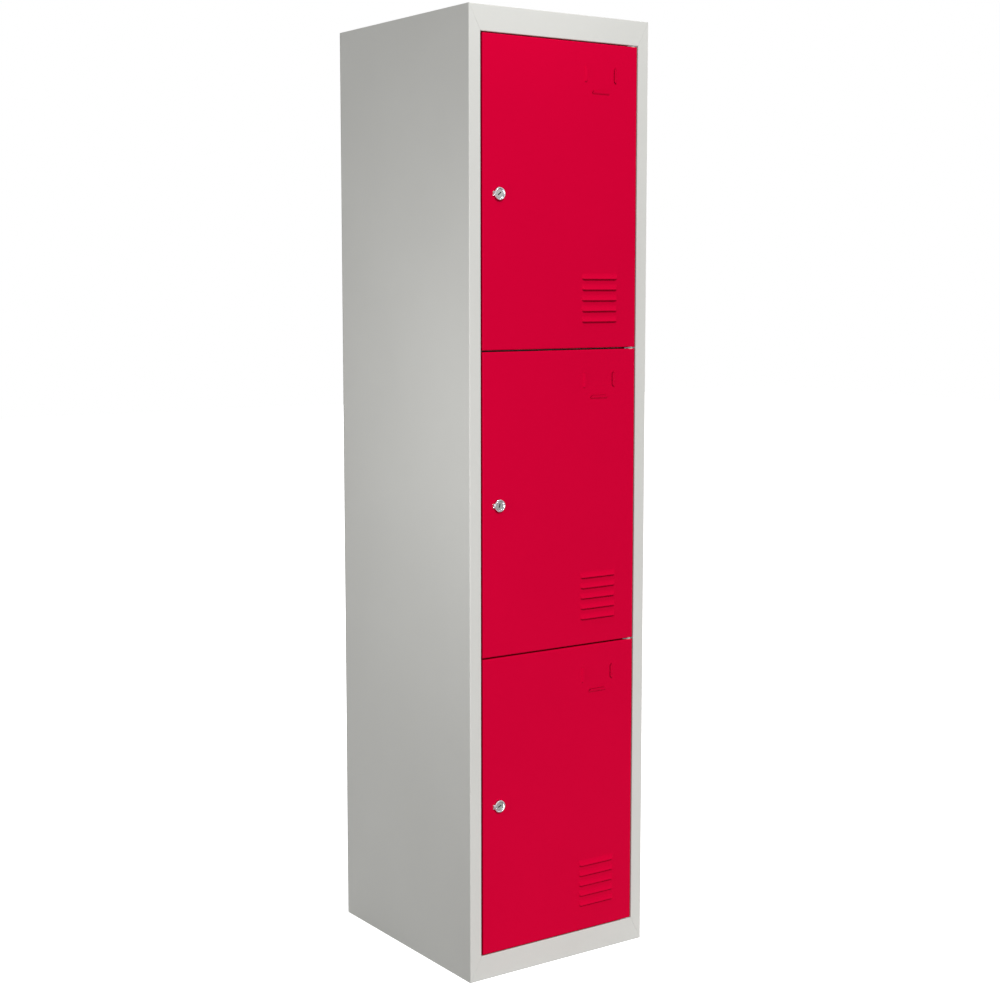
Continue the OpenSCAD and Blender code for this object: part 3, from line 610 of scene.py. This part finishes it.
# Upright outline with round ends, each end drawn as half a circle
def slotOutline(width, height, x, steps=12):
    r, points = width / 2, []
    for end, start in ((1, 0), (-1, 180)):
        for i in range(steps + 1):
            a = math.radians(start + 180 * i / steps)
            points.append((x + r * math.cos(a), end * (height / 2 - r) + r * math.sin(a)))
    return points


# Ear beside the head: a slotted lug that runs into the head's wall
def housingEar(shape):
    c = camLock
    middle, root, tall = -c["headRadius"] - c["earReach"] / 2, c["earRoot"] - c["headRadius"], c["earHeight"]
    outer = [(root if x > middle + hair else x, y) for x, y in slotOutline(c["earReach"], tall, middle)]
    outer = [(x, math.copysign(tall / 2, y) if x == root else y) for x, y in outer]
    inner = slotOutline(c["earSlot"], tall - c["earReach"] + c["earSlot"], middle)
    edge, high, centre = c["earEdge"], c["footHeight"], Vector((middle, 0))
    # Up inside the slot, over the top with its edges eased, and down outside
    loops = ((inner, 0.0, 0), (inner, high - edge, 0), (inner, high, edge),
             (outer, high, -edge), (outer, high - edge, 0), (outer, 0.0, 0))
    rings = []
    for outline, z, draw in loops:
        rings.append([tuple(Vector(p) + (Vector(p) - centre).normalized() * draw) + (z,) for p in outline])
    skinInto(shape, rings)


def plugBody(shape):
    c = camLock
    face, foot = c["headHeight"] - c["recess"], c["seatHeight"] + c["plugFit"]
    outer, stem = c["seatRadius"] - c["plugFit"], c["boreRadius"] - c["plugFit"]
    groove, floor = stem - c["grooveWidth"], face - c["grooveDepth"]
    profile = [(c["faceCap"], face), (groove, face), (groove + c["grooveSlope"], floor)]
    profile += [(stem - c["grooveSlope"], floor), (stem, face)]
    profile += roundCorner((stem, face), (outer, face), (outer, foot), c["faceRound"])
    profile += [(outer, foot), (stem, foot), (stem, c["barrelEnd"] + c["stemEdge"])]
    profile += [(stem - c["stemEdge"], c["barrelEnd"])]
    skinInto(shape, lathe(profile), closed=False)


def plugTail(shape):
    half = camLock["tailWidth"] / 2
    boxInto(shape, (-half, -half, camLock["tailEnd"]), (half, half, camLock["barrelEnd"] + camLock["over"]))


def plugHoles(turn):
    c = camLock
    face, x, y = c["headHeight"] - c["recess"], c["keySlotWidth"] / 2, c["keySlotLength"] / 2

    def fill(shape):
        boxInto(shape, (-x, -y, face - c["keySlotDepth"]), (x, y, face + c["over"]), -turn)
        cylinderInto(shape, c["screwHole"], c["tailEnd"] - c["over"], c["tailEnd"] + c["screwHoleDepth"])
    return fill


def makeLocks():
    head, ear = shapeFrom("lockHead", housingHead), shapeFrom("lockEar", housingEar)
    tail = shapeFrom("plugTail", plugTail)
    cutWith(head, ear, "UNION")
    bake(head, sharpAngles["lock"])
    inset = Vector(((doorPan["lockInset"] - doorPan["width"] / 2) * mm, 0, 0))
    facing = Matrix.Rotation(math.radians(90), 4, "X") @ Matrix.Scale(mm, 4)
    for level in levels:
        place = Matrix.Translation(faceMiddle(level) + inset) @ facing
        housing = addPiece(level + "LockHousing", head.data.copy(), chromePlate)
        bake(housing, sharpAngles["lock"], place)
        plug = shapeFrom(level + "LockPlug", plugBody)
        plug.data.materials.append(satinNickel)
        holes = shapeFrom(level + "PlugHoles", plugHoles(camLock["keyTurn"][level]))
        cutWith(plug, tail, "UNION")
        cutWith(plug, holes)
        bake(plug, sharpAngles["lock"], place)
        for piece, body, node, slot in ((housing, "_door", "_lock_housing", "lock_chrome"),
                                        (plug, "_lock", "_lock_plug", "zinc_steel")):
            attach(piece, level + body)
            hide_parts(level + node)
        bpy.data.objects.remove(holes)
        print(level, "lock made:", len(housing.data.polygons) + len(plug.data.polygons), "faces")
    for spare in (head, ear, tail):
        bpy.data.objects.remove(spare)


makeLocks()

studio = {
    "skyLevel": 0.22,  # what the world gives to painted surfaces
    "gleamLevel": 0.9,  # what gloss and polished metal see of it
    "paperHex": "#C8C8C8", "paperLift": 0.9,  # the floor looks white to the camera where no shadow falls
    "floorReach": 14,  # metres
}
# Area lamps: place and aim in metres, size in metres, power in watts
# The sun stands for a bank of lights far off: place and aim give its direction, then its angle and strength
lamps = {
    "keySun": ("SUN", (-0.6, -7.0, 6.5), (0.0, 0.0, 0.0), 0.2, 2.6),
    "sideLamp": ("AREA", (-0.9, -0.35, 1.05), (-0.2, -0.2, 1.1), 0.4, 1.9),
    "leftLamp": ("AREA", (-5.0, -0.6, 0.8), (0.0, 0.0, 0.8), 1.5, 35),
    "topLamp": ("AREA", (-0.15, -0.65, 2.3), (-0.15, -0.23, 1.75), 0.25, 1.9),
    "rightLamp": ("AREA", (5.0, 1.2, 2.2), (0.0, 0.0, 0.9), 1.5, 90),
    "backLamp": ("AREA", (1.8, 3.2, 2.6), (0.0, 0.0, 0.9), 2.0, 45),
}


def litWorld(settings):
    world = bpy.data.worlds.new("studioWorld")
    bpy.context.scene.world = world
    world.use_nodes = True
    tree = world.node_tree
    tree.nodes.clear()
    ray = addNode(tree, "ShaderNodeLightPath").outputs
    gleam = addNode(tree, "ShaderNodeMix", {
        "Factor": ray["Is Glossy Ray"], "A": settings["skyLevel"], "B": settings["gleamLevel"]})
    level = addNode(tree, "ShaderNodeMix", {"Factor": ray["Is Camera Ray"], "A": gleam, "B": 1.0})
    sky = addNode(tree, "ShaderNodeBackground", {"Color": (1, 1, 1, 1), "Strength": level})
    addNode(tree, "ShaderNodeOutputWorld", {"Surface": sky})


def hangLamp(name, kind, place, aim, size, power):
    lamp = bpy.data.lights.new(name, kind)
    lamp.energy = power
    setattr(lamp, "angle" if kind == "SUN" else "size", size)
    holder = bpy.data.objects.new(name, lamp)
    holder.location = place
    holder.rotation_euler = (Vector(aim) - Vector(place)).to_track_quat("-Z", "Y").to_euler()
    holder.visible_camera = False
    bpy.context.scene.collection.objects.link(holder)


# Sheet of white paper under the locker, lit up for the camera alone
def whiteFloor(settings):
    mesh = bpy.data.meshes.new("studioFloor")
    far = settings["floorReach"]
    mesh.from_pydata([(-far, -far, 0), (far, -far, 0), (far, far, 0), (-far, far, 0)], [], [(0, 1, 2, 3)])
    material, tree = newSurface("whitePaperSweep")
    ray = addNode(tree, "ShaderNodeLightPath").outputs
    paper = addNode(tree, "ShaderNodeBsdfDiffuse", {"Color": linearColour(settings["paperHex"])})
    glow = addNode(tree, "ShaderNodeEmission", {"Color": (1, 1, 1, 1), "Strength": settings["paperLift"]})
    lifted = addNode(tree, "ShaderNodeAddShader", (paper, glow))
    seen = addNode(tree, "ShaderNodeMixShader", (ray["Is Camera Ray"], paper, lifted))
    addNode(tree, "ShaderNodeOutputMaterial", {"Surface": seen})
    addPiece("studioFloor", mesh, material)


litWorld(studio)
for name, setting in lamps.items():
    hangLamp(name, *setting)
whiteFloor(studio)
print("studio lit")
